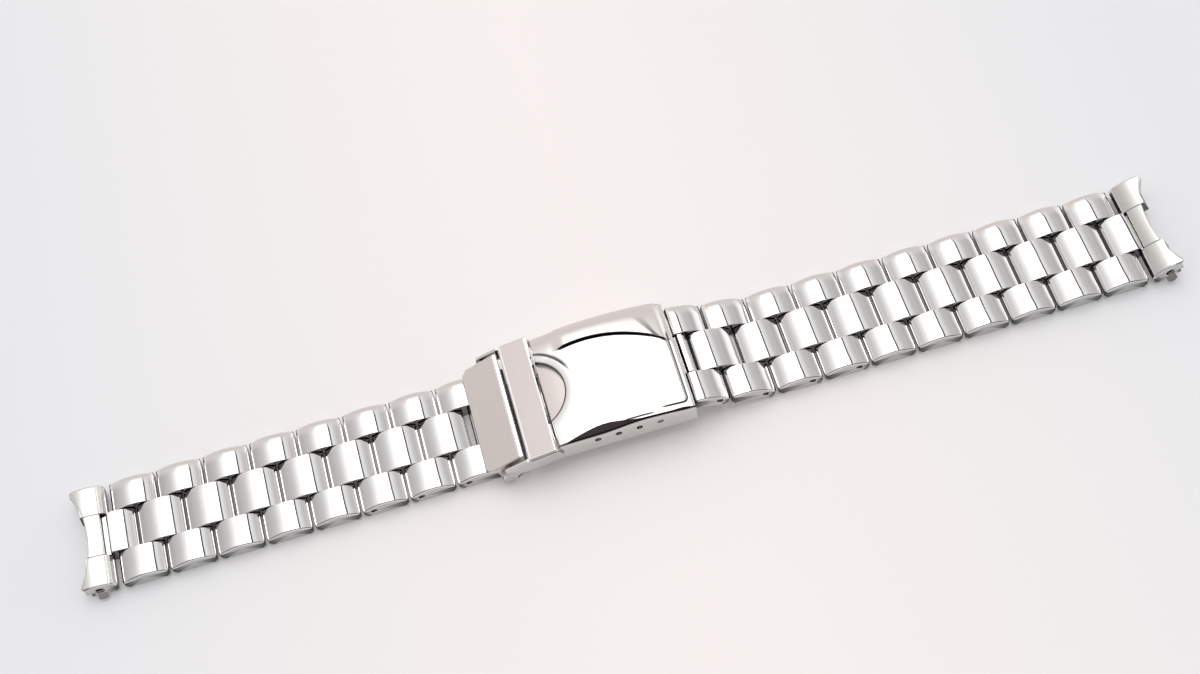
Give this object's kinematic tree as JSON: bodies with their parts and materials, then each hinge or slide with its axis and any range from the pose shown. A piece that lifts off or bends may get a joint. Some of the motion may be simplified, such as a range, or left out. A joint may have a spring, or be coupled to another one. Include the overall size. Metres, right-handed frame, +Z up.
{
  "type": "watch bracelet",
  "caption": "Three-row steel watch bracelet with curved end links, pinned links, folding clasp and flip-over safety lock.",
  "frame": {"origin": "under the middle of the whole length, on the table that the bracelet lies on", "axes": "+X along the bracelet from the lock side towards the cover side, +Y across it, +Z up from the table"},
  "size_m": [0.1774, 0.021, 0.0081],
  "materials": {
    "polished_steel": "polished",
    "satin_steel": "satin",
    "pin_steel": "ground"
  },
  "bodies": {
    "lower_blade": {"lower_blade": "polished_steel", "hood": "satin_steel", "lock_catch": "polished_steel", "lock_rivets": "pin_steel", "fold_pin": "pin_steel"},
    "middle_blade": {"middle_blade": "polished_steel", "cover_pin": "pin_steel"},
    "cover": {"cover": "polished_steel", "nail_plate": "satin_steel", "spring_bar": "pin_steel"},
    "safety_lock": {"safety_lock": "satin_steel"},
    "clasp_end_link": {"clasp_end_link": "polished_steel"},
    "right_outer_1": {"right_outer_1": "polished_steel", "right_adjust_pin_1": "pin_steel"},
    "right_centre_1": {"right_centre_1": "polished_steel"},
    "right_outer_2": {"right_outer_2": "polished_steel", "right_adjust_pin_2": "pin_steel"},
    "right_centre_2": {"right_centre_2": "polished_steel"},
    "right_outer_3": {"right_outer_3": "polished_steel", "right_adjust_pin_3": "pin_steel"},
    "right_centre_3": {"right_centre_3": "polished_steel"},
    "right_outer_4": {"right_outer_4": "polished_steel", "right_adjust_pin_4": "pin_steel"},
    "right_centre_4": {"right_centre_4": "polished_steel"},
    "right_outer_5": {"right_outer_5": "polished_steel"},
    "right_centre_5": {"right_centre_5": "polished_steel"},
    "right_outer_6": {"right_outer_6": "polished_steel"},
    "right_centre_6": {"right_centre_6": "polished_steel"},
    "right_outer_7": {"right_outer_7": "polished_steel"},
    "right_centre_7": {"right_centre_7": "polished_steel"},
    "right_outer_8": {"right_outer_8": "polished_steel"},
    "right_centre_8": {"right_centre_8": "polished_steel"},
    "right_outer_9": {"right_outer_9": "polished_steel"},
    "right_centre_9": {"right_centre_9": "polished_steel"},
    "right_outer_10": {"right_outer_10": "polished_steel"},
    "right_centre_10": {"right_centre_10": "polished_steel"},
    "right_end_link": {"right_end_link": "polished_steel"},
    "left_outer_1": {"left_outer_1": "polished_steel", "left_clasp_pin": "pin_steel", "left_adjust_pin_1": "pin_steel"},
    "left_centre_1": {"left_centre_1": "polished_steel"},
    "left_outer_2": {"left_outer_2": "polished_steel", "left_adjust_pin_2": "pin_steel"},
    "left_centre_2": {"left_centre_2": "polished_steel"},
    "left_outer_3": {"left_outer_3": "polished_steel", "left_adjust_pin_3": "pin_steel"},
    "left_centre_3": {"left_centre_3": "polished_steel"},
    "left_outer_4": {"left_outer_4": "polished_steel"},
    "left_centre_4": {"left_centre_4": "polished_steel"},
    "left_outer_5": {"left_outer_5": "polished_steel"},
    "left_centre_5": {"left_centre_5": "polished_steel"},
    "left_outer_6": {"left_outer_6": "polished_steel"},
    "left_centre_6": {"left_centre_6": "polished_steel"},
    "left_outer_7": {"left_outer_7": "polished_steel"},
    "left_centre_7": {"left_centre_7": "polished_steel"},
    "left_outer_8": {"left_outer_8": "polished_steel"},
    "left_centre_8": {"left_centre_8": "polished_steel"},
    "left_end_link": {"left_end_link": "polished_steel"}
  },
  "joints": [
    {"name": "blade_hinge", "type": "hinge", "parent": "lower_blade", "child": "middle_blade", "pos_m": [0.00734, 0, 0.00125], "axis": [0, 1, 0], "range_deg": [0, 165]},
    {"name": "cover_hinge", "type": "hinge", "parent": "middle_blade", "child": "cover", "pos_m": [-0.01016, 0, 0.00361], "axis": [0, 1, 0], "range_deg": [-165, 0]},
    {"name": "lock_pivot", "type": "hinge", "parent": "lower_blade", "child": "safety_lock", "pos_m": [-0.02116, 0, 0.00195], "axis": [0, 1, 0], "range_deg": [-110, 0]},
    {"name": "clasp_bar_pivot", "type": "hinge", "parent": "cover", "child": "clasp_end_link", "pos_m": [0.00319, 0, 0.00535], "axis": [0, 1, 0], "range_deg": [-1, 8]},
    {"name": "right_pin_1", "type": "hinge", "parent": "clasp_end_link", "child": "right_outer_1", "pos_m": [0.01008, 0, 0.00498], "axis": [0, 1, 0], "range_deg": [-21, 5]},
    {"name": "right_pin_2", "type": "hinge", "parent": "right_outer_1", "child": "right_centre_1", "pos_m": [0.0129, 0, 0.00396], "axis": [0, 1, 0], "range_deg": [-2, 13]},
    {"name": "right_pin_3", "type": "hinge", "parent": "right_centre_1", "child": "right_outer_2", "pos_m": [0.01652, 0, 0.00278], "axis": [0, 1, 0], "range_deg": [-1, 14]},
    {"name": "right_pin_4", "type": "hinge", "parent": "right_outer_2", "child": "right_centre_2", "pos_m": [0.02019, 0, 0.0018], "axis": [0, 1, 0], "range_deg": [0, 22]},
    {"name": "right_pin_5", "type": "hinge", "parent": "right_centre_2", "child": "right_outer_3", "pos_m": [0.02398, 0, 0.00154], "axis": [0, 1, 0], "range_deg": [-1, 14]},
    {"name": "right_pin_6", "type": "hinge", "parent": "right_outer_3", "child": "right_centre_3", "pos_m": [0.02778, 0, 0.00147], "axis": [0, 1, 0], "range_deg": [-3, 12]},
    {"name": "right_pin_7", "type": "hinge", "parent": "right_centre_3", "child": "right_outer_4", "pos_m": [0.03158, 0, 0.00147], "axis": [0, 1, 0], "range_deg": [-4, 11]},
    {"name": "right_pin_8", "type": "hinge", "parent": "right_outer_4", "child": "right_centre_4", "pos_m": [0.03538, 0, 0.00147], "axis": [0, 1, 0], "range_deg": [-4, 11]},
    {"name": "right_pin_9", "type": "hinge", "parent": "right_centre_4", "child": "right_outer_5", "pos_m": [0.03918, 0, 0.00147], "axis": [0, 1, 0], "range_deg": [-4, 11]},
    {"name": "right_pin_10", "type": "hinge", "parent": "right_outer_5", "child": "right_centre_5", "pos_m": [0.04298, 0, 0.00147], "axis": [0, 1, 0], "range_deg": [-4, 11]},
    {"name": "right_pin_11", "type": "hinge", "parent": "right_centre_5", "child": "right_outer_6", "pos_m": [0.04678, 0, 0.00147], "axis": [0, 1, 0], "range_deg": [-4, 11]},
    {"name": "right_pin_12", "type": "hinge", "parent": "right_outer_6", "child": "right_centre_6", "pos_m": [0.05058, 0, 0.00147], "axis": [0, 1, 0], "range_deg": [-4, 11]},
    {"name": "right_pin_13", "type": "hinge", "parent": "right_centre_6", "child": "right_outer_7", "pos_m": [0.05438, 0, 0.00147], "axis": [0, 1, 0], "range_deg": [-4, 11]},
    {"name": "right_pin_14", "type": "hinge", "parent": "right_outer_7", "child": "right_centre_7", "pos_m": [0.05818, 0, 0.00147], "axis": [0, 1, 0], "range_deg": [-4, 11]},
    {"name": "right_pin_15", "type": "hinge", "parent": "right_centre_7", "child": "right_outer_8", "pos_m": [0.06198, 0, 0.00147], "axis": [0, 1, 0], "range_deg": [-4, 11]},
    {"name": "right_pin_16", "type": "hinge", "parent": "right_outer_8", "child": "right_centre_8", "pos_m": [0.06578, 0, 0.00147], "axis": [0, 1, 0], "range_deg": [-4, 11]},
    {"name": "right_pin_17", "type": "hinge", "parent": "right_centre_8", "child": "right_outer_9", "pos_m": [0.06958, 0, 0.00147], "axis": [0, 1, 0], "range_deg": [-4, 11]},
    {"name": "right_pin_18", "type": "hinge", "parent": "right_outer_9", "child": "right_centre_9", "pos_m": [0.07338, 0, 0.00147], "axis": [0, 1, 0], "range_deg": [-4, 11]},
    {"name": "right_pin_19", "type": "hinge", "parent": "right_centre_9", "child": "right_outer_10", "pos_m": [0.07718, 0, 0.00147], "axis": [0, 1, 0], "range_deg": [-4, 11]},
    {"name": "right_pin_20", "type": "hinge", "parent": "right_outer_10", "child": "right_centre_10", "pos_m": [0.08098, 0, 0.00147], "axis": [0, 1, 0], "range_deg": [-4, 11]},
    {"name": "right_pin_21", "type": "hinge", "parent": "right_centre_10", "child": "right_end_link", "pos_m": [0.08478, 0, 0.00147], "axis": [0, 1, 0], "range_deg": [-2, 38]},
    {"name": "left_pin_1", "type": "hinge", "parent": "lower_blade", "child": "left_outer_1", "pos_m": [-0.02366, 0, 0.00145], "axis": [0, 1, 0], "range_deg": [-11, 1]},
    {"name": "left_pin_2", "type": "hinge", "parent": "left_outer_1", "child": "left_centre_1", "pos_m": [-0.02746, 0, 0.00145], "axis": [0, 1, 0], "range_deg": [-11, 4]},
    {"name": "left_pin_3", "type": "hinge", "parent": "left_centre_1", "child": "left_outer_2", "pos_m": [-0.03126, 0, 0.00145], "axis": [0, 1, 0], "range_deg": [-11, 4]},
    {"name": "left_pin_4", "type": "hinge", "parent": "left_outer_2", "child": "left_centre_2", "pos_m": [-0.03506, 0, 0.00145], "axis": [0, 1, 0], "range_deg": [-11, 4]},
    {"name": "left_pin_5", "type": "hinge", "parent": "left_centre_2", "child": "left_outer_3", "pos_m": [-0.03886, 0, 0.00145], "axis": [0, 1, 0], "range_deg": [-11, 4]},
    {"name": "left_pin_6", "type": "hinge", "parent": "left_outer_3", "child": "left_centre_3", "pos_m": [-0.04266, 0, 0.00145], "axis": [0, 1, 0], "range_deg": [-11, 4]},
    {"name": "left_pin_7", "type": "hinge", "parent": "left_centre_3", "child": "left_outer_4", "pos_m": [-0.04646, 0, 0.00145], "axis": [0, 1, 0], "range_deg": [-11, 4]},
    {"name": "left_pin_8", "type": "hinge", "parent": "left_outer_4", "child": "left_centre_4", "pos_m": [-0.05026, 0, 0.00145], "axis": [0, 1, 0], "range_deg": [-11, 4]},
    {"name": "left_pin_9", "type": "hinge", "parent": "left_centre_4", "child": "left_outer_5", "pos_m": [-0.05406, 0, 0.00145], "axis": [0, 1, 0], "range_deg": [-11, 4]},
    {"name": "left_pin_10", "type": "hinge", "parent": "left_outer_5", "child": "left_centre_5", "pos_m": [-0.05786, 0, 0.00145], "axis": [0, 1, 0], "range_deg": [-11, 4]},
    {"name": "left_pin_11", "type": "hinge", "parent": "left_centre_5", "child": "left_outer_6", "pos_m": [-0.06166, 0, 0.00145], "axis": [0, 1, 0], "range_deg": [-11, 4]},
    {"name": "left_pin_12", "type": "hinge", "parent": "left_outer_6", "child": "left_centre_6", "pos_m": [-0.06546, 0, 0.00145], "axis": [0, 1, 0], "range_deg": [-11, 4]},
    {"name": "left_pin_13", "type": "hinge", "parent": "left_centre_6", "child": "left_outer_7", "pos_m": [-0.06926, 0, 0.00145], "axis": [0, 1, 0], "range_deg": [-11, 4]},
    {"name": "left_pin_14", "type": "hinge", "parent": "left_outer_7", "child": "left_centre_7", "pos_m": [-0.07306, 0, 0.00145], "axis": [0, 1, 0], "range_deg": [-11, 4]},
    {"name": "left_pin_15", "type": "hinge", "parent": "left_centre_7", "child": "left_outer_8", "pos_m": [-0.07686, 0, 0.00145], "axis": [0, 1, 0], "range_deg": [-11, 4]},
    {"name": "left_pin_16", "type": "hinge", "parent": "left_outer_8", "child": "left_centre_8", "pos_m": [-0.08066, 0, 0.00145], "axis": [0, 1, 0], "range_deg": [-11, 4]},
    {"name": "left_pin_17", "type": "hinge", "parent": "left_centre_8", "child": "left_end_link", "pos_m": [-0.08446, 0, 0.00145], "axis": [0, 1, 0], "range_deg": [-19, 21]}
  ],
  "couplings": [
    {"joint": "cover_hinge", "follows": "blade_hinge", "ratio": -1}
  ]
}
